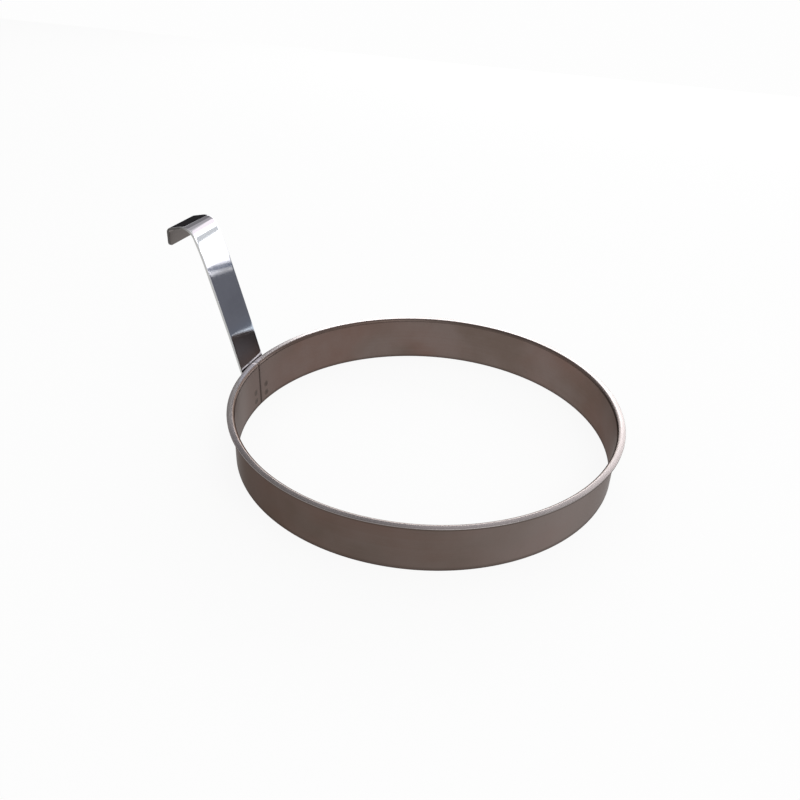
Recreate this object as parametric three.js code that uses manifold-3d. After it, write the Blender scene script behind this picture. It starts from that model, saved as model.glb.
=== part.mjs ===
// A hand-held ring mould for tapioca pancakes: a steel strip rolled into a ring with a flanged lip,
// closed by the foot of a bent strip handle that is spot-welded over the joint.
// Millimetres, +Z up. The ring's axis is vertical and the handle rises on the +X side.
// The origin is on the base plane, at the middle of the whole mould's footprint.
import * as THREE from "three";
import { mergeVertices } from "three/addons/utils/BufferGeometryUtils.js";
import Module from "manifold-3d";

// Ring: a flat strip on edge, with its upper edge turned outwards into a flat lip.
const RING_INNER_RADIUS = 100;
const RING_HEIGHT = 26.5;
const RING_THICKNESS = 1;
const LIP_OVERHANG = 3.2;
const LIP_BEND_RADIUS = 0.8;
const EDGE_CHAMFER = 0.2;
const SEAM_GAP = 0.5;
const RING_SEGMENTS = 96;
const BEND_STEPS = 3;

// Handle: one strip, bent to the table that bendTable() holds.
const HANDLE_WIDTH = 23;
const HANDLE_THICKNESS = 1.3;
const HANDLE_CORNER_RADIUS = 2;
const FOOT_CLEARANCE = 0.3;
const FOOT_BASE_HEIGHT = 2;
const FOOT_BEND_RADIUS = 5;
const LIP_CLEARANCE = 0.3;
const LOWER_LEAN = THREE.MathUtils.degToRad(15.5);
const LOWER_LEG_LENGTH = 33.2;
const KINK_ANGLE = THREE.MathUtils.degToRad(1);
const KINK_RADIUS = 30;
const UPPER_LEG_LENGTH = 38;
const SWAY_ANGLE = THREE.MathUtils.degToRad(6.2);
const SWAY_RADIUS = 160;
const CREST_ANGLE = THREE.MathUtils.degToRad(81);
const CREST_RADIUS = 7.1;
const HOOK_FLAT_LENGTH = 5.9;
const HOOK_CORNER_RADIUS = 2.2;
const TIP_STRAIGHT = 5.3;
const BEND_STEP_ANGLE = THREE.MathUtils.degToRad(10);
const WIDTH_STEPS = 6;

// Spot welds: two rows of two nuggets that pass through the ring and the handle's foot.
const WELD_DIAMETER = 4;
const WELD_CLEARANCE = 0.15;
const WELD_DIMPLE = 0.15;
const WELD_PITCH = 12;
const LOWER_WELD_SHARE = 0.25;
const UPPER_WELD_SHARE = 0.75;
const WELD_SEGMENTS = 24;

const RING_OUTER_RADIUS = RING_INNER_RADIUS + RING_THICKNESS;
const LIP_RADIUS = RING_OUTER_RADIUS + LIP_OVERHANG;
const FOOT_INNER_FACE = RING_OUTER_RADIUS + FOOT_CLEARANCE;
const FOOT_OUTER_FACE = FOOT_INNER_FACE + HANDLE_THICKNESS;

// The foot stays on the wall up to the height from which the leaning leg just passes the lip's edge.
const LIP_UNDERSIDE = RING_HEIGHT - RING_THICKNESS;
const LIP_STEP = LIP_RADIUS + LIP_CLEARANCE - FOOT_INNER_FACE;
const FOOT_TOP = LIP_UNDERSIDE - LIP_STEP / Math.tan(LOWER_LEAN);
const FOOT_FLAT_LENGTH = FOOT_TOP - FOOT_BASE_HEIGHT - FOOT_BEND_RADIUS * Math.tan(LOWER_LEAN / 2);
const CURVED_LENGTH = FOOT_FLAT_LENGTH + LOWER_LEG_LENGTH;

const wasm = await Module();
wasm.setup();

// The solid inside a closed surface, ready to be cut.
function solidFrom(geometry) {
  const plain = geometry.clone();
  plain.deleteAttribute("normal");
  plain.deleteAttribute("uv");
  const merged = mergeVertices(plain, 1e-4);
  return new wasm.Manifold(
    new wasm.Mesh({
      numProp: 3,
      vertProperties: new Float32Array(merged.attributes.position.array),
      triVerts: new Uint32Array(merged.index.array),
    }),
  );
}

// The surface of a cut solid.
function geometryFrom(solid) {
  const mesh = solid.getMesh();
  const geometry = new THREE.BufferGeometry();
  geometry.setAttribute("position", new THREE.BufferAttribute(mesh.vertProperties, 3));
  geometry.setIndex(new THREE.BufferAttribute(mesh.triVerts, 1));
  geometry.computeVertexNormals();
  return geometry;
}

const ringSteel = new THREE.MeshStandardMaterial({ color: 0x6e6159, roughness: 0.38, metalness: 1 });
const handleSteel = new THREE.MeshStandardMaterial({ color: 0xb4b6ba, roughness: 0.12, metalness: 1 });
const weldSteel = new THREE.MeshStandardMaterial({ color: 0x5a5048, roughness: 0.5, metalness: 1 });

function namedMesh(name, geometry, material) {
  const mesh = new THREE.Mesh(geometry, material.clone());
  mesh.name = name;
  return mesh;
}

// Half the ring's wall section, radius across and height up, traced anticlockwise.
// The lip is bent, not cornered: its inside radius lies under the lip, its outside radius on the mouth.
function ringSection() {
  const section = new THREE.Path();
  const under = LIP_UNDERSIDE;
  const bendCentre = { r: RING_OUTER_RADIUS + LIP_BEND_RADIUS, z: under - LIP_BEND_RADIUS };
  section.moveTo(RING_INNER_RADIUS + EDGE_CHAMFER, 0);
  section.lineTo(RING_OUTER_RADIUS - EDGE_CHAMFER, 0);
  section.lineTo(RING_OUTER_RADIUS, EDGE_CHAMFER);
  section.lineTo(RING_OUTER_RADIUS, bendCentre.z);
  section.absarc(bendCentre.r, bendCentre.z, LIP_BEND_RADIUS, Math.PI, Math.PI / 2, true);
  section.lineTo(LIP_RADIUS - EDGE_CHAMFER, under);
  section.lineTo(LIP_RADIUS, under + EDGE_CHAMFER);
  section.lineTo(LIP_RADIUS, RING_HEIGHT - EDGE_CHAMFER);
  section.lineTo(LIP_RADIUS - EDGE_CHAMFER, RING_HEIGHT);
  section.lineTo(bendCentre.r, RING_HEIGHT);
  section.absarc(bendCentre.r, bendCentre.z, LIP_BEND_RADIUS + RING_THICKNESS, Math.PI / 2, Math.PI, false);
  section.lineTo(RING_INNER_RADIUS, EDGE_CHAMFER);
  section.closePath();
  return section.getPoints(BEND_STEPS);
}

// Drops points that repeat the one before them, so that no face of the revolved section is empty.
function withoutRepeats(points) {
  const kept = [];
  points.forEach((point) => {
    if (!kept.length || kept.at(-1).distanceTo(point) > 1e-6) kept.push(point);
  });
  return kept;
}

// The weld centres: the angle round the ring's axis, and the height as a share of the foot's flat.
function weldPlaces() {
  const places = [];
  for (const [rowName, share] of [["lower", LOWER_WELD_SHARE], ["upper", UPPER_WELD_SHARE]]) {
    for (const [sideName, side] of [["left", 1], ["right", -1]]) {
      places.push({
        name: `spot_weld_${rowName}_${sideName}`,
        azimuth: (side * WELD_PITCH) / 2 / RING_OUTER_RADIUS,
        z: FOOT_BASE_HEIGHT + share * FOOT_FLAT_LENGTH,
      });
    }
  }
  return places;
}

// A round bar along the ring's radius at a weld place, from one radial distance to another.
function weldBar(place, diameter, from, to) {
  const bar = new THREE.CylinderGeometry(diameter / 2, diameter / 2, to - from, WELD_SEGMENTS);
  bar.rotateZ(Math.PI / 2);
  bar.translate((from + to) / 2, 0, place.z);
  bar.rotateZ(place.azimuth);
  return bar;
}

// The clearance hole for a weld, long enough to pass through the ring's wall and the foot.
function weldHole(place) {
  const reach = HANDLE_THICKNESS + RING_THICKNESS + FOOT_CLEARANCE;
  const diameter = WELD_DIAMETER + 2 * WELD_CLEARANCE;
  return solidFrom(weldBar(place, diameter, RING_INNER_RADIUS - reach, FOOT_OUTER_FACE + reach));
}

function withWeldHoles(solid) {
  return weldPlaces().reduce((cut, place) => cut.subtract(weldHole(place)), solid);
}

// The ring: its section revolved, slit at the strip's joint behind the handle, and pierced for the welds.
function mouldRing() {
  const turned = new THREE.LatheGeometry(withoutRepeats(ringSection()), RING_SEGMENTS);
  turned.rotateX(Math.PI / 2);
  const slit = new THREE.BoxGeometry(LIP_RADIUS, SEAM_GAP, 3 * RING_HEIGHT);
  slit.translate(LIP_RADIUS, 0, RING_HEIGHT / 2);
  const ring = solidFrom(turned).subtract(solidFrom(slit));
  return geometryFrom(withWeldHoles(ring));
}

// The handle strip's bends from foot to tip: straight runs, and turns that are positive away from the ring.
// The hook goes over the crest, runs out nearly level, and its corner takes whatever turn is left for the tip
// to point straight down.
function bendTable() {
  const cornerTurn = Math.PI - LOWER_LEAN - KINK_ANGLE - SWAY_ANGLE - CREST_ANGLE;
  return [
    { length: FOOT_FLAT_LENGTH },
    { turn: LOWER_LEAN, radius: FOOT_BEND_RADIUS },
    { length: LOWER_LEG_LENGTH },
    { turn: KINK_ANGLE, radius: KINK_RADIUS },
    { length: UPPER_LEG_LENGTH },
    { turn: SWAY_ANGLE, radius: SWAY_RADIUS },
    { turn: CREST_ANGLE, radius: CREST_RADIUS },
    { length: HOOK_FLAT_LENGTH },
    { turn: cornerTurn, radius: HOOK_CORNER_RADIUS },
    { length: HANDLE_CORNER_RADIUS + TIP_STRAIGHT },
  ];
}

// Follows the bend table along the middle of the strip and gives a station wherever the sheet is to be cut:
// the place (x, z), the lean from upright, and the distance from the foot's end.
function handleStations() {
  const stations = [];
  let x = FOOT_INNER_FACE + HANDLE_THICKNESS / 2;
  let z = FOOT_BASE_HEIGHT;
  let lean = 0;
  let along = 0;
  const put = () => stations.push({ x, z, lean, along });
  const run = (length) => {
    x += length * Math.sin(lean);
    z += length * Math.cos(lean);
    along += length;
    put();
  };
  const corner = (backwards) => {
    const cuts = [];
    for (let i = 1; i <= BEND_STEPS; i++) {
      cuts.push(HANDLE_CORNER_RADIUS * (1 - Math.cos((i * Math.PI) / 2 / BEND_STEPS)));
    }
    const gaps = cuts.map((cut, i) => cut - (i ? cuts[i - 1] : 0));
    (backwards ? gaps.reverse() : gaps).forEach(run);
  };
  put();
  const table = bendTable();
  table.forEach((step, i) => {
    if (step.turn) {
      const steps = Math.ceil(Math.abs(step.turn) / BEND_STEP_ANGLE);
      const part = step.turn / steps;
      for (let k = 0; k < steps; k++) {
        lean += part / 2;
        run(2 * step.radius * Math.sin(Math.abs(part) / 2));
        lean += part / 2;
        stations.at(-1).lean = lean;
      }
      return;
    }
    const first = i === 0;
    const last = i === table.length - 1;
    if (first) corner(false);
    run(step.length - (first || last ? HANDLE_CORNER_RADIUS : 0));
    if (last) corner(true);
  });
  return stations;
}

// Half the strip's width at a distance from its nearer end, where the corners are rounded.
function halfWidth(fromEnd) {
  const into = Math.max(0, HANDLE_CORNER_RADIUS - fromEnd);
  const lost = HANDLE_CORNER_RADIUS - Math.sqrt(HANDLE_CORNER_RADIUS ** 2 - into ** 2);
  return HANDLE_WIDTH / 2 - lost;
}

// The strip's section, across the width (v) and through the sheet (u), with broken edges.
function stripSection(half) {
  const face = HANDLE_THICKNESS / 2;
  const edge = half - EDGE_CHAMFER;
  const side = face - EDGE_CHAMFER;
  const section = [];
  for (let i = 0; i <= WIDTH_STEPS; i++) section.push([face, edge * ((2 * i) / WIDTH_STEPS - 1)]);
  section.push([side, half], [-side, half]);
  for (let i = 0; i <= WIDTH_STEPS; i++) section.push([-face, edge * (1 - (2 * i) / WIDTH_STEPS)]);
  section.push([-side, -half], [side, -half]);
  return section;
}

// How far the strip falls back at a distance off its middle: the foot is dished to the ring's wall,
// and the dishing runs out evenly between the foot and the end of the lower leg.
function dish(v, along) {
  const fade = Math.min(1, Math.max(0, (CURVED_LENGTH - along) / LOWER_LEG_LENGTH));
  return fade * (FOOT_INNER_FACE - Math.sqrt(FOOT_INNER_FACE ** 2 - v ** 2));
}

// The handle: the strip's section lofted through the stations and closed at both ends.
function handleStrip() {
  const stations = handleStations();
  const whole = stations.at(-1).along;
  const positions = [];
  const faces = [];
  let sides = 0;
  stations.forEach((station) => {
    const section = stripSection(halfWidth(Math.min(station.along, whole - station.along)));
    sides = section.length;
    section.forEach(([u, v]) => {
      const x = station.x + u * Math.cos(station.lean) - dish(v, station.along);
      positions.push(x, v, station.z - u * Math.sin(station.lean));
    });
  });
  for (let i = 0; i + 1 < stations.length; i++) {
    for (let k = 0; k < sides; k++) {
      const a = i * sides + k;
      const b = i * sides + ((k + 1) % sides);
      faces.push(a, b, b + sides, a, b + sides, a + sides);
    }
  }
  const top = (stations.length - 1) * sides;
  for (let k = 1; k + 1 < sides; k++) {
    faces.push(0, k + 1, k, top, top + k, top + k + 1);
  }
  const loft = new THREE.BufferGeometry();
  loft.setAttribute("position", new THREE.Float32BufferAttribute(positions, 3));
  loft.setIndex(faces);
  return geometryFrom(withWeldHoles(solidFrom(loft)));
}

// A spot weld: a nugget through both sheets, a little below each face as the electrodes leave it.
function spotWeld(place) {
  return weldBar(place, WELD_DIAMETER, RING_INNER_RADIUS + WELD_DIMPLE, FOOT_OUTER_FACE - WELD_DIMPLE);
}

const mould = new THREE.Group();
mould.add(namedMesh("mould_ring", mouldRing(), ringSteel));
mould.add(namedMesh("handle_strip", handleStrip(), handleSteel));
weldPlaces().forEach((place) => mould.add(namedMesh(place.name, spotWeld(place), weldSteel)));

// The base plane is already at zero height, so only the footprint's middle is moved to the origin.
const footprint = new THREE.Box3().setFromObject(mould);
mould.position.x = -(footprint.min.x + footprint.max.x) / 2;

const part = new THREE.Group();
part.add(mould);
export default part;
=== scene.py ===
"""Looks of the ring mould: satin steel ring, polished strip handle, spot welds, and a pale studio."""

import math
from collections import namedtuple

import bmesh
import bpy
import numpy as np
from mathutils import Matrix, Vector


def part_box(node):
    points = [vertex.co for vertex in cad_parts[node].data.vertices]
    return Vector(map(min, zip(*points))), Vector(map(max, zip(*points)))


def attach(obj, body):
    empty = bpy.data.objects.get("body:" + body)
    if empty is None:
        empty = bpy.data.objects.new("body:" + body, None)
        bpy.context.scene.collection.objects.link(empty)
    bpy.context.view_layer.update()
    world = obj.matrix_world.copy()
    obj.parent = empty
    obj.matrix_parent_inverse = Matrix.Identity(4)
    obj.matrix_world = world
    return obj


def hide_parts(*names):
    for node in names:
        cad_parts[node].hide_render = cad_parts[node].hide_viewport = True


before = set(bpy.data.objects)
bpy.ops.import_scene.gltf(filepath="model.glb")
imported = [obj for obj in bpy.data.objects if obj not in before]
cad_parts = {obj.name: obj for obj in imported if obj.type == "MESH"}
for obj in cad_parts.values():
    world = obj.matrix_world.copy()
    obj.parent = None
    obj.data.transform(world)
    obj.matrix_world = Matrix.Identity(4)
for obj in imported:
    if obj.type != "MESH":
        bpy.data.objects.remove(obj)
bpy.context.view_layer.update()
RING_LOW, RING_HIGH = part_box("mould_ring")
HANDLE_LOW, HANDLE_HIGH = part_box("handle_strip")

bl_info = {
    "name": "Tapioca ring mould",
    "version": (1, 0, 0),
    "blender": (4, 5, 0),
    "location": "View3D > Sidebar > Ring mould",
    "description": "Builds the ring, the strip handle, the spot welds and the studio around the packed part",
    "category": "Add Mesh",
}

MM = 0.001
BODY = "root"
WELD_NODES = [f"spot_weld_{row}_{side}" for row in ("lower", "upper") for side in ("left", "right")]

# Fineness of the surfaces
MERGE_DISTANCE = 1e-7
RING_STATIONS = 481
WALL_STEP = 2.0 * MM
CORNER_POINTS = 8
CORNER_SHOULDER = 0.12 * MM
HANDLE_STATIONS = 480
END_STATIONS = 13
PATH_STEPS = 20001
FLAT_POINTS = 19
EDGE_POINTS = 11
WELD_CIRCLES = 15
WELD_POINTS = 48

# Places of the studio in metres: a lower y is further behind the mould, seen from the camera
FLOOR_REACH = 40.0
FLOOR_END = -1.3
BOX_MIDDLE = -0.45
BOX_DEPTH = -1.55
BOX_LENGTH = 2.6
NEAR_DEPTH = -0.25
FAR_DEPTH = -1.0
BACK_DEPTH = -1.57
CARD_FALL = 0.18
ROOF_FRONT = 0.1
ROOF_LOW = 0.95
ROOF_HIGH = 1.3

# Strengths of the white world: as light on the mould, and where it shows as background
WORLD_LIGHT = 0.6
WORLD_WHITE = 0.985

# Camera: its place from the ring's axis in metres, its turn in degrees, and its lens in millimetres
CAMERA_AT = (-0.10507, 0.34800, 0.24655)
CAMERA_TURN = (58.7524, -2.2483, -159.6507)
CAMERA_LENS = 35.86
CAMERA_SENSOR = 36.0

# The strip's middle line at its stations, and the distance at which each of its runs ends
StripPath = namedtuple("StripPath", ["x", "z", "lean", "s", "ends"])


def length(name, description, default):
    """A length property in metres with its default."""
    return bpy.props.FloatProperty(
        name=name, description=description, default=default, min=0.0, precision=5, unit="LENGTH"
    )


def angle(name, description, degrees):
    """An angle property whose default is given in degrees."""
    return bpy.props.FloatProperty(
        name=name, description=description, default=math.radians(degrees), subtype="ANGLE"
    )


def colour(name, description, default):
    """A colour property with its linear default."""
    return bpy.props.FloatVectorProperty(
        name=name, description=description, default=default, size=3, min=0.0, max=1.0, subtype="COLOR"
    )


class RingSizes(bpy.types.PropertyGroup):
    """Sizes of the rolled ring."""

    outer_radius: length("Lip radius", "From the axis to the lip's edge", (RING_HIGH.x - RING_LOW.x) / 2)
    height: length("Height", "From the base to the lip's top", RING_HIGH.z)
    thickness: length("Sheet", "Thickness of the ring's sheet", 1.0 * MM)
    overhang: length("Overhang", "How far the lip stands out from the wall", 3.2 * MM)
    bend_radius: length("Bend", "Inside radius of the lip's bend", 0.8 * MM)
    edge_radius: length("Edge", "Rounding of the cut edges", 0.28 * MM)
    seam_gap: length("Joint", "Open gap between the strip's ends", 0.5 * MM)


class HandleSizes(bpy.types.PropertyGroup):
    """Sizes of the bent strip handle."""

    width: length("Width", "Width of the strip", HANDLE_HIGH.y - HANDLE_LOW.y)
    thickness: length("Sheet", "Thickness of the strip", 1.3 * MM)
    edge_radius: length("Edge", "Rounding of the strip's long edges", 0.4 * MM)
    corner_radius: length("Corner", "Radius of the corners at both ends", 2.0 * MM)
    clearance: length("Clearance", "Gap between the wall and the foot, and past the lip", 0.3 * MM)
    foot_bend: length("Foot bend", "Middle radius of the bend above the foot", 5.0 * MM)
    lower_leg: length("Lower leg", "Straight length below the crease", 33.2 * MM)
    crease_bend: length("Crease bend", "Middle radius of the crease", 30.0 * MM)
    upper_leg: length("Upper leg", "Straight length above the crease", 38.0 * MM)
    sway_bend: length("Sway", "Middle radius of the outward sway", 160.0 * MM)
    crest_bend: length("Crest bend", "Middle radius of the bend over the crest", 7.1 * MM)
    hook_flat: length("Hook flat", "Straight length between the crest and the hook's corner", 5.9 * MM)
    hook_corner: length("Hook corner", "Middle radius of the bend down to the tip", 2.2 * MM)
    tip_straight: length("Tip", "Straight length before the tip's rounded corners", 5.3 * MM)
    lean: angle("Lean", "Lean of the lower leg from upright", 15.5)
    crease: angle("Crease", "Further outward turn at the crease", 1.0)
    sway: angle("Sway turn", "Turn of the outward sway", 6.2)
    crest: angle("Crest turn", "Turn over the crest", 81.0)


class WeldSizes(bpy.types.PropertyGroup):
    """Sizes of the spot welds' marks."""

    radius: length("Radius", "Radius of a weld mark", 2.0 * MM)
    proud: length("Proud", "Height of the rim that the electrode leaves", 0.1 * MM)


class Finishes(bpy.types.PropertyGroup):
    """Colours of the steels, linear."""

    wall: colour("Wall", "Warm grey of the satin wall", (0.135, 0.099, 0.083))
    wall_warm: colour("Warm wall", "Brown bloom that heat leaves on the wall", (0.155, 0.099, 0.082))
    wall_worn: colour("Worn wall", "Paler grey where the wall is rubbed", (0.195, 0.155, 0.142))
    # Painted shade for the outer wall, darkest on the handle's side, away from the light.
    wall_shade_side: colour("Burnt wall", "Darker outside, where the flame reaches it", (0.062, 0.047, 0.038))
    # Painted light on the outer wall, paler on the side away from the handle, towards the light; inside, a
    # paler patch beside the joint.
    wall_pale_and_lit: colour("Pale wall", "Rubbed opposite the handle and beside the joint", (0.30, 0.262, 0.25))
    # Painted shade along the base, under the lip's bend, round the mouth and on the lip's edge; real grime at
    # the joint.
    shade_and_grime: colour("Grime", "Dark lines in the bends, on the edges and at the joint", (0.045, 0.034, 0.030))
    lip: colour("Lip", "Rubbed steel of the lip", (0.44, 0.41, 0.405))
    # Painted highlight: the lip is brighter near the handle, where its mirror image is bright.
    lip_sheen: colour("Bright lip", "Lip rubbed to bright steel beside the handle", (0.74, 0.69, 0.69))
    handle: colour("Handle", "Polished steel of the handle", (0.52, 0.52, 0.55))
    handle_worn: colour("Rubbed handle", "Steel with fine scratches", (0.44, 0.44, 0.47))
    # Painted reflection: a paler bluish patch on the lower leg below the crease.
    handle_sheen: colour("Tempered handle", "Blue film left by heat below the crease", (0.55, 0.65, 0.78))
    handle_back: colour("Handle's back", "Unpolished back of the strip", (0.185, 0.164, 0.153))
    handle_edge: colour("Handle's edge", "Dull cut edge of the strip", (0.50, 0.50, 0.49))
    # Darkens the strip's cut edges from the crest to the tip.
    hook_edge: colour("Hook's edge", "Stained cut edge round the hook", (0.09, 0.084, 0.08))
    weld: colour("Weld", "Scale on the weld marks", (0.080, 0.058, 0.048))
    weld_rim: colour("Weld rim", "Tempered steel round a weld", (0.122, 0.091, 0.077))
    edge_tint: colour("Edge tint", "How much satin steel brightens at a glancing look", (0.48, 0.46, 0.45))


def ring_axis_x():
    """The ring's axis stands midway between the ring's lowest and highest x."""
    return (RING_LOW.x + RING_HIGH.x) / 2


def wall_outside(ring):
    """From the ring's axis to the wall's outer face."""
    return ring.outer_radius - ring.overhang


def wall_inside(ring):
    """From the ring's axis to the wall's inner face."""
    return wall_outside(ring) - ring.thickness


def bell(distance, width):
    """1 where the distance is 0, falling on both sides as exp(-(distance / width) squared)."""
    return np.exp(-((distance / width) ** 2))


def ramp(value, start, width):
    """0 up to start, then an even rise to 1 over the width."""
    return np.clip((value - start) / width, 0, 1)


def rounded_outline(corners, radii, steps, shoulder):
    """Closed outline with round corners, as one array of points.

    At a corner P with unit directions a and b to its neighbours and half angle h between them, the arc of
    radius r has its centre at P + bisector * r / sin(h). Points run from a's side to b's side, and one more
    point stands a shoulder away on each straight, so that the flats shade flat.
    """
    p = np.asarray(corners, float)
    r = np.asarray(radii, float)[:, None]
    a = np.roll(p, 1, axis=0) - p
    b = np.roll(p, -1, axis=0) - p
    a /= np.linalg.norm(a, axis=1, keepdims=True)
    b /= np.linalg.norm(b, axis=1, keepdims=True)
    h = np.arccos(np.clip((a * b).sum(1, keepdims=True), -1, 1)) / 2
    bisector = (a + b) / np.linalg.norm(a + b, axis=1, keepdims=True)
    across = (a - b) / np.linalg.norm(a - b, axis=1, keepdims=True)
    centre = p + bisector * r / np.sin(h)
    turn = (math.pi / 2 - h) * np.linspace(1, -1, steps)[None, :]
    arc = centre[:, None] + r[:, :, None] * (
        -bisector[:, None] * np.cos(turn)[..., None] + across[:, None] * np.sin(turn)[..., None]
    )
    reach = r / np.tan(h) + shoulder
    return np.concatenate([(p + a * reach)[:, None], arc, (p + b * reach)[:, None]], axis=1).reshape(-1, 2)


def grid_faces(rows, columns):
    """Quads between neighbouring rows of a grid whose columns close on themselves."""
    i = np.arange(rows - 1)[:, None] * columns
    j = np.arange(columns)[None, :]
    k = (j + 1) % columns
    return np.stack([i + j, i + k, i + columns + k, i + columns + j], axis=-1).reshape(-1, 4)


def sheet_uv(along, outline):
    """Sheet coordinates as a grid, in metres: along the strip, and round its section back to the start."""
    steps = np.linalg.norm(np.roll(outline, -1, axis=0) - outline, axis=1)
    around = np.concatenate([[0.0], np.cumsum(steps)])
    return np.stack(np.meshgrid(along, around, indexing="ij"), axis=-1)


def closed_loft(name, points, uv, material):
    """Mesh object from a grid (rows, columns, 3) whose columns close, with both end rows capped.

    uv is a grid (rows, columns + 1, 2) in metres along the sheet, so that brush lines follow the metal.
    """
    rows, columns = points.shape[:2]
    quads = grid_faces(rows, columns)
    last = (rows - 1) * columns
    caps = [list(range(columns))[::-1], list(range(last, last + columns))]
    mesh = bpy.data.meshes.new(name)
    mesh.from_pydata(points.reshape(-1, 3), [], quads.tolist() + caps)
    i = np.repeat(np.arange(rows - 1), columns)
    j = np.tile(np.arange(columns), rows - 1)
    corners = np.stack([uv[i, j], uv[i, j + 1], uv[i + 1, j + 1], uv[i + 1, j]], axis=1).reshape(-1, 2)
    ends = np.concatenate([uv[0, :columns][::-1], uv[-1, :columns]])
    layer = mesh.uv_layers.new(name="sheet")
    layer.data.foreach_set("uv", np.concatenate([corners, ends]).astype(np.float32).ravel())
    mesh.polygons.foreach_set("use_smooth", np.ones(len(mesh.polygons), bool))
    return placed(name, mesh, material)


def placed(name, mesh, material):
    """Object for a finished mesh, with its doubles merged and its faces turned outwards."""
    work = bmesh.new()
    work.from_mesh(mesh)
    bmesh.ops.remove_doubles(work, verts=work.verts, dist=MERGE_DISTANCE)
    bmesh.ops.recalc_face_normals(work, faces=work.faces)
    work.to_mesh(mesh)
    work.free()
    mesh.materials.append(material)
    piece = bpy.data.objects.new(name, mesh)
    bpy.context.scene.collection.objects.link(piece)
    return piece


def seated(piece, slot, *nodes):
    """The piece rides on the mould's only body and stands for its CAD nodes."""
    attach(piece, BODY)
    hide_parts(*nodes)


def attribute(piece, name, values):
    """Stores one number for each vertex."""
    layer = piece.data.attributes.new(name, "FLOAT", "POINT")
    layer.data.foreach_set("value", np.asarray(values, np.float32).ravel())


def vertex_places(piece):
    """The x, y and z of each vertex."""
    at = np.empty(len(piece.data.vertices) * 3, np.float32)
    piece.data.vertices.foreach_get("co", at)
    return at.reshape(-1, 3).T


class Nodes:
    """A material's node tree with short ways to add and link its nodes."""

    def __init__(self, name):
        self.material = bpy.data.materials.new(name)
        self.material.use_nodes = True
        self.tree = self.material.node_tree
        self.shader = self.tree.nodes["Principled BSDF"]

    def add(self, kind, **settings):
        """A new node with its settings."""
        node = self.tree.nodes.new(kind)
        for key, value in settings.items():
            setattr(node, key, value)
        return node

    def link(self, source, target):
        """Links an output to an input."""
        self.tree.links.new(source, target)

    def uv(self, scale):
        """The piece's own sheet coordinates, stretched by scale."""
        coordinates = self.add("ShaderNodeUVMap", uv_map="sheet")
        return self.stretched(coordinates.outputs["UV"], scale)

    def object(self, scale):
        """Object coordinates, stretched by scale."""
        coordinates = self.add("ShaderNodeTexCoord")
        return self.stretched(coordinates.outputs["Object"], scale)

    def stretched(self, coordinates, scale):
        """Coordinates times scale."""
        mapping = self.add("ShaderNodeMapping")
        mapping.inputs["Scale"].default_value = scale
        self.link(coordinates, mapping.inputs["Vector"])
        return mapping.outputs["Vector"]

    def noise(self, vector, scale, detail):
        """Soft noise between 0 and 1."""
        node = self.add("ShaderNodeTexNoise")
        node.inputs["Scale"].default_value = scale
        node.inputs["Detail"].default_value = detail
        self.link(vector, node.inputs["Vector"])
        return node.outputs["Fac"]

    def stretch(self, value, low, high, to_low, to_high):
        """Maps a value from one range to another and holds it there."""
        node = self.add("ShaderNodeMapRange")
        for key, number in (("From Min", low), ("From Max", high), ("To Min", to_low), ("To Max", to_high)):
            node.inputs[key].default_value = number
        self.link(value, node.inputs["Value"])
        return node.outputs["Result"]

    def math(self, operation, first, second):
        """One operation on two numbers or outputs."""
        node = self.add("ShaderNodeMath", operation=operation)
        for socket, value in zip(node.inputs, (first, second)):
            if isinstance(value, (int, float)):
                socket.default_value = value
            else:
                self.link(value, socket)
        return node.outputs["Value"]

    def mix(self, factor, first, second):
        """Colour between two colours or colour outputs."""
        node = self.add("ShaderNodeMix", data_type="RGBA")
        self.link(factor, node.inputs["Factor"])
        for socket, value in ((node.inputs["A"], first), (node.inputs["B"], second)):
            self.colour_into(socket, value)
        return node.outputs["Result"]

    def colour_into(self, socket, value):
        """Sets a socket to a colour, or links a colour output to it."""
        if isinstance(value, bpy.types.NodeSocket):
            self.link(value, socket)
        else:
            socket.default_value = (*value, 1.0)

    def attribute(self, name):
        """A number stored on the piece's vertices."""
        return self.add("ShaderNodeAttribute", attribute_name=name).outputs["Fac"]

    def bump(self, height, strength, distance):
        """Fine relief from a height."""
        node = self.add("ShaderNodeBump")
        node.inputs["Strength"].default_value = strength
        node.inputs["Distance"].default_value = distance
        self.link(height, node.inputs["Height"])
        self.link(node.outputs["Normal"], self.shader.inputs["Normal"])


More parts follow.
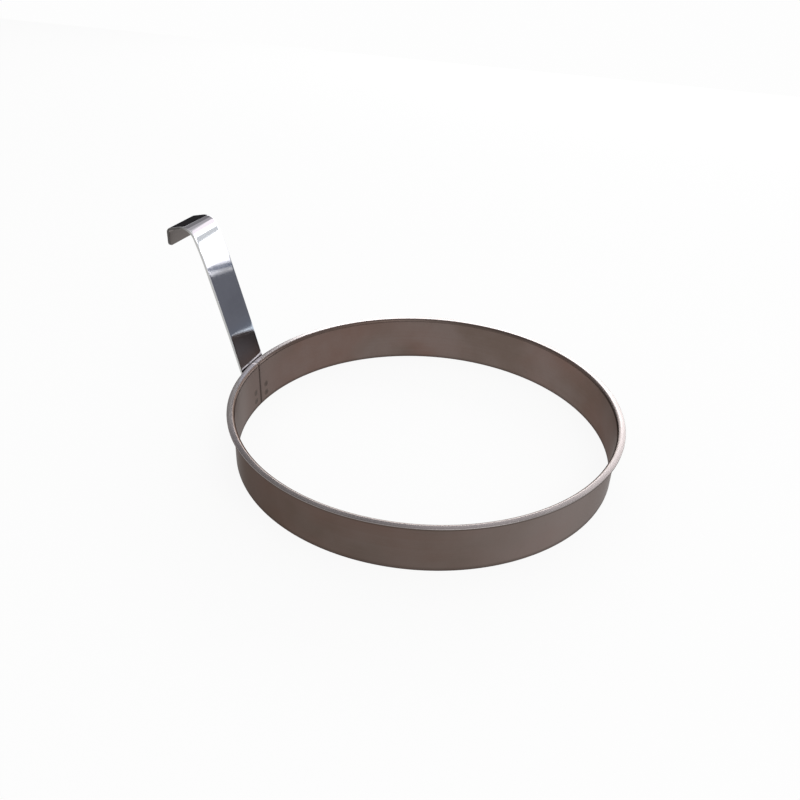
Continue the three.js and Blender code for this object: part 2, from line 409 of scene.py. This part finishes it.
def ring_steel(finish):
    """Satin steel: rolled brush lines along the strip, soft mottling, a rubbed lip and grime at the joint,
    with painted light and shade: a sheen on the lip near the handle, a paler side and a darker side, and dark
    lines at the bends and edges.
    """
    n = Nodes("ring_satin_steel")
    lines = n.noise(n.uv((9.0, 5200.0, 1.0)), 1.0, 3.0)
    mottle = n.noise(n.object((1.0, 1.0, 1.0)), 34.0, 4.0)
    fine = n.noise(n.object((1.0, 1.0, 1.0)), 420.0, 2.0)
    rubbed = n.math("ADD", n.stretch(mottle, 0.40, 0.68, 0.0, 0.55), n.stretch(lines, 0.45, 0.75, 0.0, 0.35))
    worn = n.math("MAXIMUM", rubbed, n.attribute("near_joint"))
    bloom = n.stretch(n.noise(n.object((1.0, 1.0, 1.6)), 19.0, 3.0), 0.42, 0.62, 0.0, 1.0)
    tinted = n.mix(bloom, finish.wall, finish.wall_warm)
    mottled = n.mix(worn, tinted, finish.wall_worn)
    # Painted light: the outer wall turns paler on the side away from the handle, towards the light. Inside, a
    # paler patch beside the joint.
    pale_and_lit = n.mix(n.attribute("rubbed"), mottled, finish.wall_pale_and_lit)
    # Painted shade: the outer wall darkens towards the handle's side, away from the light.
    lit_and_shaded_wall = n.mix(n.attribute("shade_side"), pale_and_lit, finish.wall_shade_side)
    speck = n.stretch(fine, 0.62, 0.74, 0.0, 0.15)
    # Painted highlight: the lip is brighter near the handle, where its mirror image is bright.
    lip = n.mix(n.attribute("lip_painted_sheen"), finish.lip, finish.lip_sheen)
    before_shade_lines = n.mix(n.attribute("lip"), n.mix(speck, lit_and_shaded_wall, finish.wall), lip)
    # Painted shade along the base, under the lip's bend, round the mouth and on the lip's edge; real grime at
    # the joint.
    n.link(n.mix(n.attribute("shade_and_grime"), before_shade_lines, finish.shade_and_grime), n.shader.inputs["Base Color"])
    n.shader.inputs["Metallic"].default_value = 1.0
    n.shader.inputs["Specular Tint"].default_value = (*finish.edge_tint, 1.0)
    rough = n.stretch(n.math("ADD", mottle, lines), 0.7, 1.3, 0.30, 0.42)
    smoothed = n.math("MULTIPLY", n.attribute("lip"), 0.16)
    n.link(n.math("SUBTRACT", rough, smoothed), n.shader.inputs["Roughness"])
    n.bump(n.math("ADD", lines, n.math("MULTIPLY", fine, 0.4)), 0.10, 0.00004)
    return n.material


def handle_steel(finish):
    """Polished steel: fine lines, faint smears, a painted bluish reflection below the crease, a dull back and
    dull edges.
    """
    n = Nodes("handle_polished_steel")
    lines = n.noise(n.uv((14.0, 4200.0, 1.0)), 1.0, 2.0)
    smear = n.noise(n.object((1.0, 1.0, 1.0)), 60.0, 3.0)
    rubbed = n.math("ADD", n.stretch(smear, 0.45, 0.7, 0.0, 0.6), n.stretch(lines, 0.5, 0.8, 0.0, 0.4))
    back = n.attribute("back")
    cut_edge = n.attribute("cut_edge")
    bright = n.mix(rubbed, finish.handle, finish.handle_worn)
    # Painted reflection: a paler bluish patch on the lower leg below the crease.
    front = n.mix(n.attribute("temper_and_sheen"), bright, finish.handle_sheen)
    faces = n.mix(back, front, finish.handle_back)
    # The cut edges turn darker from the crest to the tip.
    edge = n.mix(n.attribute("hook"), finish.handle_edge, finish.hook_edge)
    n.link(n.mix(cut_edge, faces, edge), n.shader.inputs["Base Color"])
    n.shader.inputs["Metallic"].default_value = 1.0
    polished = n.stretch(n.math("ADD", smear, lines), 0.7, 1.3, 0.03, 0.07)
    dulled = n.math("MULTIPLY", n.math("MAXIMUM", back, cut_edge), 0.24)
    n.link(n.math("ADD", polished, dulled), n.shader.inputs["Roughness"])
    n.bump(n.math("ADD", lines, n.math("MULTIPLY", smear, 0.5)), 0.04, 0.00003)
    return n.material


def weld_steel(finish):
    """Scaled steel: dark in the dimple, tempered brown towards the rim, with a grainy surface."""
    n = Nodes("weld_scaled_steel")
    grain = n.noise(n.object((1.0, 1.0, 1.0)), 1500.0, 3.0)
    rim = n.math("ADD", n.attribute("rim"), n.stretch(grain, 0.35, 0.7, -0.25, 0.25))
    temper_and_sheen = n.stretch(rim, 0.2, 0.9, 0.0, 1.0)
    n.link(n.mix(temper_and_sheen, finish.weld, finish.weld_rim), n.shader.inputs["Base Color"])
    n.shader.inputs["Metallic"].default_value = 1.0
    n.link(n.stretch(grain, 0.3, 0.7, 0.42, 0.62), n.shader.inputs["Roughness"])
    n.bump(grain, 0.25, 0.00008)
    return n.material


def ring_outline(ring):
    """Section of the band as radius and height: wall, bend and lip, with a round at each corner."""
    inner = wall_inside(ring)
    outer = wall_outside(ring)
    under = ring.height - ring.thickness
    corners = [
        (inner, 0.0),
        (outer, 0.0),
        (outer, under),
        (ring.outer_radius, under),
        (ring.outer_radius, ring.height),
        (inner, ring.height),
    ]
    edge = ring.edge_radius
    bend = ring.bend_radius
    radii = [edge, edge, bend, edge, edge, bend + ring.thickness]
    return rounded_outline(corners, radii, CORNER_POINTS, CORNER_SHOULDER)


def wall_steps(outline, longest):
    """Splits each side of a closed outline that is longer than longest into equal steps."""
    following = np.roll(outline, -1, axis=0)
    counts = np.maximum(1, np.ceil(np.linalg.norm(following - outline, axis=1) / longest)).astype(int)
    start = np.repeat(np.arange(len(outline)), counts)
    within = np.arange(counts.sum()) - np.repeat(np.cumsum(counts) - counts, counts)
    share = (within / counts[start])[:, None]
    return outline[start] * (1 - share) + following[start] * share


def ring_band(ring, material):
    """Band as a grid: its section carried round the ring's axis.

    A point (r, z) of the section, at a turn t, lies at (r cos t, r sin t, z) from the axis.
    """
    outline = wall_steps(ring_outline(ring), WALL_STEP)
    inner = wall_inside(ring)
    half_gap = ring.seam_gap / 2 / inner
    turn = np.linspace(half_gap, 2 * math.pi - half_gap, RING_STATIONS)
    radius, height = outline[:, 0], outline[:, 1]
    points = np.stack(
        [
            ring_axis_x() + np.outer(np.cos(turn), radius),
            np.outer(np.sin(turn), radius),
            np.broadcast_to(height, (len(turn), len(height))),
        ],
        axis=-1,
    )
    return closed_loft("ring_band", points, sheet_uv(turn * inner, outline), material)


def shade_and_grime_lines(ring, out, arc, z):
    """Dark lines, each a bell across its own place: painted shade at the base, under the bend, round the
    mouth and on the lip's edge, and grime at the joint.
    """
    base_line = bell(z, 0.7 * MM)
    bend_line = bell(z - ring.height + 2.0 * MM, 0.6 * MM) * (out > wall_outside(ring) - 0.1 * MM)
    high_up = z > ring.height - 1.8 * MM
    mouth_line = 0.95 * high_up * bell(out - wall_inside(ring) - 0.5 * MM, 0.55 * MM)
    edge_line = 0.6 * high_up * bell(out - ring.outer_radius, 0.7 * MM)
    joint_line = bell(arc, 0.9 * MM) * (1 - 0.5 * z / ring.height)
    return np.maximum.reduce([base_line, bend_line, mouth_line, edge_line, joint_line])


def mark_ring_wear_and_light(piece, ring):
    """Stores where the band is rubbed and grimy, and where light and shade are painted on it.

    A place is told by its distance out from the axis, its height, and its arc along the wall from the joint.
    """
    x, y, z = vertex_places(piece)
    from_axis = x - ring_axis_x()
    inner = wall_inside(ring)
    out = np.hypot(from_axis, y)
    arc = np.arctan2(y, from_axis) * inner
    lip = ramp(out - inner, 1.1 * MM, 0.8 * MM) * ramp(z - ring.height, -0.3 * MM, 0.2 * MM)
    outside = out > inner + ring.thickness / 2
    opposite = np.clip(-from_axis / out, 0, 1)
    beside_joint = 0.75 * bell(arc - 27 * MM, 15 * MM)
    attribute(piece, "lip", lip)
    # Painted highlight: the lip is brighter near the handle, where its mirror image is bright.
    attribute(piece, "lip_painted_sheen", bell(arc + 23 * MM, 48 * MM))
    # Painted shade along the base, under the lip's bend, round the mouth and on the lip's edge; real grime at
    # the joint.
    attribute(piece, "shade_and_grime", 0.75 * shade_and_grime_lines(ring, out, arc, z))
    attribute(piece, "near_joint", 0.9 * bell(arc, 26 * MM))
    # Painted shade: the outer wall darkens towards the handle's side, away from the light.
    attribute(piece, "shade_side", 0.4 * outside * (1 - opposite))
    # Outside: painted light, paler on the side away from the handle, towards the light. Inside: a paler patch
    # beside the joint.
    attribute(piece, "rubbed", np.where(outside, opposite**3, beside_joint))


class MOULD_OT_ring(bpy.types.Operator):
    """Carries the band's section round the ring's axis, from one side of the joint to the other"""

    bl_idname = "mould.ring"
    bl_label = "Ring"

    def execute(self, context):
        ring = context.scene.mould_ring_sizes
        piece = ring_band(ring, ring_steel(context.scene.mould_finishes))
        mark_ring_wear_and_light(piece, ring)
        seated(piece, "ring_steel", "mould_ring")
        return {"FINISHED"}


def foot_flat(ring, handle):
    """Flat length of the foot: what is left below the lean that just passes the lip's lower edge."""
    under = ring.height - ring.thickness
    top = under - ring.overhang / math.tan(handle.lean)
    return top - HANDLE_LOW.z - handle.foot_bend * math.tan(handle.lean / 2)


def handle_runs(ring, handle):
    """Straight runs and bends of the strip from foot to tip: name, length of the middle line, and turn."""
    corner = math.pi - handle.lean - handle.crease - handle.sway - handle.crest
    return [
        ("foot", foot_flat(ring, handle), 0.0),
        ("foot_bend", handle.lean * handle.foot_bend, handle.lean),
        ("lower_leg", handle.lower_leg, 0.0),
        ("crease", handle.crease * handle.crease_bend, handle.crease),
        ("upper_leg", handle.upper_leg, 0.0),
        ("sway", handle.sway * handle.sway_bend, handle.sway),
        ("crest", handle.crest * handle.crest_bend, handle.crest),
        ("hook_flat", handle.hook_flat, 0.0),
        ("hook_corner", corner * handle.hook_corner, corner),
        ("tip", handle.corner_radius + handle.tip_straight, 0.0),
    ]


def handle_path(ring, handle):
    """Middle line of the strip, at stations a distance s along it from the foot's end.

    The lean changes evenly with s inside a bend, and not at all in a straight run. From the foot's end, x and
    z grow by the sums of sin(lean) and cos(lean) along s. x counts from the ring's axis.
    """
    names, runs, turns = zip(*handle_runs(ring, handle))
    ends = np.concatenate([[0.0], np.cumsum(runs)])
    leans = np.concatenate([[0.0], np.cumsum(turns)])
    end_cuts = handle.corner_radius * (1 - np.cos(np.linspace(0, math.pi / 2, END_STATIONS)))
    even = np.linspace(0, ends[-1], HANDLE_STATIONS)
    s = np.unique(np.concatenate([even, end_cuts, ends[-1] - end_cuts]).round(9))
    fine = np.linspace(0, ends[-1], PATH_STEPS)
    lean = np.interp(fine, ends, leans)
    step = fine[1]
    across = np.concatenate([[0.0], np.cumsum((np.sin(lean[1:]) + np.sin(lean[:-1])) / 2 * step)])
    up = np.concatenate([[0.0], np.cumsum((np.cos(lean[1:]) + np.cos(lean[:-1])) / 2 * step)])
    first_x = wall_outside(ring) + handle.clearance + handle.thickness / 2
    return StripPath(
        x=first_x + np.interp(s, fine, across),
        z=HANDLE_LOW.z + np.interp(s, fine, up),
        lean=np.interp(s, ends, leans),
        s=s,
        ends=dict(zip(names, ends[1:])),
    )


def strip_outline(handle):
    """Section of the strip as (u through the sheet, v across it): two flats joined by square-round edges.

    Along an edge u and v follow sin and cos of the turn, each to a power below 1, which squares the round.
    """
    half, face, edge = handle.width / 2, handle.thickness / 2, handle.edge_radius
    flat = np.linspace(-1, 1, FLAT_POINTS) * (half - edge)
    bend = np.linspace(math.pi / 2, -math.pi / 2, EDGE_POINTS)[1:-1]
    soft = 0.6
    edge_u = face * np.sign(np.sin(bend)) * np.abs(np.sin(bend)) ** soft
    edge_v = half - edge + edge * np.cos(bend) ** soft
    u = np.concatenate([np.full(FLAT_POINTS, face), edge_u, np.full(FLAT_POINTS, -face), -edge_u])
    v = np.concatenate([flat, edge_v, -flat, -edge_v])
    return u, v


def bent_strip(ring, handle, path, material):
    """Strip as a grid: at each station its section (u, v) is turned by the lean and set on the middle line.

    Both ends narrow along quarter circles. The foot is dished to the wall by R - sqrt(R squared - v squared),
    and the dish fades out on the way past the lip.
    """
    s = path.s
    u, v = strip_outline(handle)
    corner = handle.corner_radius
    into_corner = np.clip(corner - np.minimum(s, path.ends["tip"] - s), 0, corner)
    half = handle.width / 2 - corner + np.sqrt(corner**2 - into_corner**2)
    across = np.outer(half / (handle.width / 2), v)
    foot_radius = wall_outside(ring) + handle.clearance
    past_lip = ring.overhang / math.sin(handle.lean)
    fade = 1 - ramp(s, path.ends["foot_bend"], past_lip)[:, None]
    dish = fade * (foot_radius - np.sqrt(foot_radius**2 - across**2))
    points = np.stack(
        [
            ring_axis_x() + path.x[:, None] + np.outer(np.cos(path.lean), u) - dish,
            across,
            path.z[:, None] - np.outer(np.sin(path.lean), u),
        ],
        axis=-1,
    )
    return closed_loft("handle_bent_strip", points, sheet_uv(s, np.column_stack([u, v])), material)


def mark_handle_wear_and_sheen(piece, handle, path):
    """Stores where the strip is unpolished or cut, where its cut edges are darker round the hook, and where a
    reflection is painted below the crease: its back, edges, hook and lower leg.
    """
    u, _ = strip_outline(handle)
    side = np.tile(u / (handle.thickness / 2), len(path.s))
    crest_start, crest_end = path.ends["sway"], path.ends["crest"]
    hook = ramp(path.s, crest_start, crest_end - crest_start)
    below_crease = path.ends["lower_leg"] - path.s
    # Painted reflection: a paler bluish patch on the lower leg below the crease.
    temper_and_sheen = bell(below_crease - 9 * MM, 8 * MM)
    attribute(piece, "back", ramp(side, 0.75, 0.25))
    attribute(piece, "cut_edge", ramp(1 - np.abs(side), 0, 1 / 6))
    attribute(piece, "hook", np.repeat(hook, len(u)))
    attribute(piece, "temper_and_sheen", np.repeat(temper_and_sheen, len(u)))


class MOULD_OT_handle(bpy.types.Operator):
    """Carries the strip's section along its bent middle line, from the dished foot to the hook's tip"""

    bl_idname = "mould.handle"
    bl_label = "Handle"

    def execute(self, context):
        ring = context.scene.mould_ring_sizes
        handle = context.scene.mould_handle_sizes
        path = handle_path(ring, handle)
        piece = bent_strip(ring, handle, path, handle_steel(context.scene.mould_finishes))
        mark_handle_wear_and_sheen(piece, handle, path)
        seated(piece, "handle_steel", "handle_strip")
        return {"FINISHED"}


def weld_mark(name, node, ring, handle, weld, material):
    """Spot weld as a disc wrapped on the wall inside and the foot outside.

    At a share d of the radius the mark stands above the sheet by a bell that tops at the rim. It falls to the
    dimple in the middle, and to the edge, which is sunk a little.
    """
    low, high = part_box(node)
    middle = (low + high) / 2
    azimuth = math.atan2(middle.y, middle.x - ring_axis_x())
    d = np.linspace(0.0, 1.0, WELD_CIRCLES)
    dimple = 0.35
    rim_at = 0.72
    rim_width = 0.2
    edge_width = 0.12
    edge_sunk = 0.03 * MM
    rise = weld.proud * (dimple + (1 - dimple) * bell(d - rim_at, rim_width)) * ramp(1 - d, 0, edge_width)
    rise -= edge_sunk * (d == 1)
    inside = wall_inside(ring)
    outside = inside + ring.thickness + handle.clearance + handle.thickness
    spread = weld.radius * np.concatenate([d, d[::-1]])
    radius = np.concatenate([inside - rise, (outside + rise)[::-1]])
    around = np.linspace(0, 2 * math.pi, WELD_POINTS, endpoint=False)
    turn = azimuth + np.outer(spread, np.cos(around)) / radius[:, None]
    points = np.stack(
        [
            ring_axis_x() + radius[:, None] * np.cos(turn),
            radius[:, None] * np.sin(turn),
            middle.z + np.outer(spread, np.sin(around)),
        ],
        axis=-1,
    )
    mesh = bpy.data.meshes.new(name)
    mesh.from_pydata(points.reshape(-1, 3), [], grid_faces(*points.shape[:2]).tolist())
    mesh.polygons.foreach_set("use_smooth", np.ones(len(mesh.polygons), bool))
    rim = mesh.attributes.new("rim", "FLOAT", "POINT")
    rim.data.foreach_set("value", np.repeat(spread / weld.radius, len(around)).astype(np.float32))
    return placed(name, mesh, material)


class MOULD_OT_welds(bpy.types.Operator):
    """Puts a dimpled mark on both sheets at each spot weld"""

    bl_idname = "mould.welds"
    bl_label = "Spot welds"

    def execute(self, context):
        scene = context.scene
        material = weld_steel(scene.mould_finishes)
        for node in WELD_NODES:
            piece = weld_mark(
                f"{node}_mark",
                node,
                scene.mould_ring_sizes,
                scene.mould_handle_sizes,
                scene.mould_weld_sizes,
                material,
            )
            seated(piece, "weld_steel", node)
        return {"FINISHED"}


def shown_as_background(tree):
    """1 for rays that show the background: seen directly, mirrored or through glass."""
    path = tree.nodes.new("ShaderNodeLightPath")
    first = tree.nodes.new("ShaderNodeMath")
    second = tree.nodes.new("ShaderNodeMath")
    first.operation = second.operation = "MAXIMUM"
    tree.links.new(path.outputs["Is Camera Ray"], first.inputs[0])
    tree.links.new(path.outputs["Is Glossy Ray"], first.inputs[1])
    tree.links.new(first.outputs["Value"], second.inputs[0])
    tree.links.new(path.outputs["Is Transmission Ray"], second.inputs[1])
    return second.outputs["Value"]


def floor_material():
    """Pale floor: mostly plain white where it shows as background, and its own shaded white for the rest."""
    material = bpy.data.materials.new("studio_floor")
    material.use_nodes = True
    tree = material.node_tree
    shaded = tree.nodes["Principled BSDF"]
    shaded.inputs["Base Color"].default_value = (0.9, 0.9, 0.9, 1.0)
    shaded.inputs["Roughness"].default_value = 0.9
    shaded.inputs["Specular IOR Level"].default_value = 0.0
    white = tree.nodes.new("ShaderNodeEmission")
    white.inputs["Strength"].default_value = 1.0
    share = tree.nodes.new("ShaderNodeMath")
    share.operation = "MULTIPLY"
    share.inputs[1].default_value = 0.9
    mix = tree.nodes.new("ShaderNodeMixShader")
    tree.links.new(shown_as_background(tree), share.inputs[0])
    tree.links.new(share.outputs["Value"], mix.inputs["Fac"])
    tree.links.new(shaded.outputs["BSDF"], mix.inputs[1])
    tree.links.new(white.outputs["Emission"], mix.inputs[2])
    tree.links.new(mix.outputs["Shader"], tree.nodes["Material Output"].inputs["Surface"])
    return material


def card_material(name, tone):
    """Studio card of one even tone."""
    material = bpy.data.materials.new(name)
    material.use_nodes = True
    tree = material.node_tree
    even = tree.nodes.new("ShaderNodeEmission")
    even.inputs["Color"].default_value = (*tone, 1.0)
    tree.links.new(even.outputs["Emission"], tree.nodes["Material Output"].inputs["Surface"])
    return material


def flat_sheet(name, corners, material):
    """A flat four-cornered stage object."""
    mesh = bpy.data.meshes.new(name)
    mesh.from_pydata(corners, [], [(0, 1, 2, 3)])
    mesh.materials.append(material)
    sheet = bpy.data.objects.new(name, mesh)
    bpy.context.scene.collection.objects.link(sheet)
    return sheet


def upright(left, right, depth, low, high):
    """Corners of an upright sheet that runs along x, at one depth."""
    return [(left, depth, low), (right, depth, low), (right, depth, high), (left, depth, high)]


def falling(left, right, depth, low, high):
    """Corners of an upright sheet whose edges fall towards higher x, where it reaches from low to high."""
    rise = CARD_FALL * (right - left)
    return [(left, depth, low + rise), (right, depth, low), (right, depth, high), (left, depth, high + rise)]


def roof(left, right):
    """Corners of a sheet that slopes up towards the camera from above the long soft boxes."""
    return [
        (left, BACK_DEPTH, ROOF_LOW),
        (right, BACK_DEPTH, ROOF_LOW),
        (right, ROOF_FRONT, ROOF_HIGH),
        (left, ROOF_FRONT, ROOF_HIGH),
    ]


def hidden_card(name, corners, material):
    """A card that only mirror images show: it isn't seen directly, and gives no soft light and no shadow."""
    card = flat_sheet(name, corners, material)
    card.visible_camera = False
    card.visible_diffuse = False
    card.visible_shadow = False


def soft_lamp(name, at, towards, width, height, watts):
    """Soft box at a point, facing another point."""
    lamp = bpy.data.lights.new(name, "AREA")
    lamp.shape = "RECTANGLE"
    lamp.size = width
    lamp.size_y = height
    lamp.energy = watts
    box = bpy.data.objects.new(name, lamp)
    box.location = at
    box.rotation_euler = (Vector(towards) - Vector(at)).to_track_quat("-Z", "Y").to_euler()
    bpy.context.scene.collection.objects.link(box)


def long_box(name, middle, height, watts):
    """Long soft box behind the mould that faces level towards the camera's side."""
    soft_lamp(name, (BOX_MIDDLE, BOX_DEPTH, middle), (BOX_MIDDLE, 0.0, middle), BOX_LENGTH, height, watts)


def lay_floor():
    """Wide floor under the mould, which ends behind it."""
    corners = [
        (-FLOOR_REACH, FLOOR_END, 0.0),
        (FLOOR_REACH, FLOOR_END, 0.0),
        (FLOOR_REACH, FLOOR_REACH, 0.0),
        (-FLOOR_REACH, FLOOR_REACH, 0.0),
    ]
    flat_sheet("studio_floor", corners, floor_material())


def light_world(scene):
    """White world, brighter where it shows as background than as light on the mould."""
    world = bpy.data.worlds.new("studio_world")
    world.use_nodes = True
    scene.world = world
    tree = world.node_tree
    sky = tree.nodes["Background"]
    sky.inputs["Color"].default_value = (1.0, 1.0, 1.0, 1.0)
    strength = tree.nodes.new("ShaderNodeMapRange")
    strength.inputs["To Min"].default_value = WORLD_LIGHT
    strength.inputs["To Max"].default_value = WORLD_WHITE
    tree.links.new(shown_as_background(tree), strength.inputs["Value"])
    tree.links.new(strength.outputs["Result"], sky.inputs["Strength"])


def hang_lamps():
    """Two long soft boxes behind the mould, one above the other, and a square one high in front of it."""
    long_box("lower_box", 0.295, 0.05, 1.5)
    long_box("upper_box", 0.665, 0.53, 16.4)
    soft_lamp("top_box", (-0.6, 0.45, 1.1), (0.0, 0.0, 0.0), 0.8, 0.8, 4.0)


def hang_cards():
    """Cards that the handle and the lip mirror as bands of light and dark."""
    slate = card_material("slate_card", (0.212, 0.22, 0.25))
    hidden_card("near_slate", upright(-1.3, 1.0, NEAR_DEPTH, 0.001, 0.062), slate)
    hidden_card("near_rise", falling(-0.3, -0.085, NEAR_DEPTH, 0.02, 0.0615), slate)
    hidden_card("far_slate", falling(-1.1, -0.6, FAR_DEPTH, 0.0, 0.005), slate)
    blue = card_material("blue_card", (0.2, 0.235, 0.32))
    hidden_card("far_strip", falling(-1.1, -0.55, FAR_DEPTH, 0.003, 0.015), blue)
    glow = card_material("glow_card", (2.2, 2.2, 2.25))
    hidden_card("low_glow", upright(-3.0, 0.85, BACK_DEPTH, 0.001, 0.27), glow)
    bar = card_material("bar_card", (1.1, 1.14, 1.14))
    hidden_card("box_bar", upright(-1.8, 0.85, BACK_DEPTH, 0.315, 0.405), bar)
    high = card_material("high_card", (1.85, 1.72, 1.76))
    hidden_card("high_glow", upright(-1.7, -0.08, BACK_DEPTH, 0.92, 1.3), high)
    shade = card_material("shade_card", (0.33, 0.32, 0.33))
    hidden_card("dark_roof", roof(0.32, 0.97), shade)
    pale = card_material("pale_card", (0.68, 0.65, 0.67))
    hidden_card("pale_roof", roof(-0.05, 0.32), pale)
    night = card_material("night_card", (0.03, 0.028, 0.03))
    turned = [(0.93, -1.5, 0.0), (3.0, -1.1, 0.0), (3.0, -1.1, 0.92), (0.93, -1.5, 0.92)]
    hidden_card("side_card", turned, night)


def set_camera(scene):
    """Camera that looks down on the mould, with the handle at the left."""
    camera = bpy.data.cameras.new("photo_camera")
    camera.lens = CAMERA_LENS
    camera.sensor_width = CAMERA_SENSOR
    camera.clip_start = 0.01
    holder = bpy.data.objects.new("photo_camera", camera)
    aside, depth, height = CAMERA_AT
    holder.location = (ring_axis_x() + aside, depth, height)
    holder.rotation_euler = [math.radians(turn) for turn in CAMERA_TURN]
    scene.collection.objects.link(holder)
    scene.camera = holder


class MOULD_OT_stage(bpy.types.Operator):
    """Makes the floor, the world, the soft boxes, the cards and the camera"""

    bl_idname = "mould.stage"
    bl_label = "Stage"

    def execute(self, context):
        scene = context.scene
        scene.view_settings.view_transform = "Standard"
        lay_floor()
        light_world(scene)
        hang_lamps()
        hang_cards()
        set_camera(scene)
        return {"FINISHED"}


class MOULD_PT_panel(bpy.types.Panel):
    """Sizes, finishes and steps of the ring mould"""

    bl_idname = "MOULD_PT_panel"
    bl_label = "Ring mould"
    bl_space_type = "VIEW_3D"
    bl_region_type = "UI"
    bl_category = "Ring mould"

    def draw(self, context):
        for group in SETTINGS:
            box = self.layout.box()
            settings = getattr(context.scene, group)
            for name in settings.bl_rna.properties.keys():
                if name not in ("rna_type", "name"):
                    box.prop(settings, name)
        for step in STEPS:
            self.layout.operator(step.bl_idname)


SETTINGS = {
    "mould_ring_sizes": RingSizes,
    "mould_handle_sizes": HandleSizes,
    "mould_weld_sizes": WeldSizes,
    "mould_finishes": Finishes,
}
STEPS = (MOULD_OT_stage, MOULD_OT_ring, MOULD_OT_handle, MOULD_OT_welds)
CLASSES = (*SETTINGS.values(), *STEPS, MOULD_PT_panel)


def register():
    """Adds the classes, and the settings to the scene."""
    for item in CLASSES:
        bpy.utils.register_class(item)
    for name, group in SETTINGS.items():
        setattr(bpy.types.Scene, name, bpy.props.PointerProperty(type=group))


def unregister():
    """Takes the settings and the classes away again."""
    for name in SETTINGS:
        delattr(bpy.types.Scene, name)
    for item in reversed(CLASSES):
        bpy.utils.unregister_class(item)


def main():
    """Builds the stage and the pieces."""
    register()
    bpy.ops.mould.stage()
    bpy.ops.mould.ring()
    bpy.ops.mould.handle()
    bpy.ops.mould.welds()


if __name__ == "__main__":
    main()
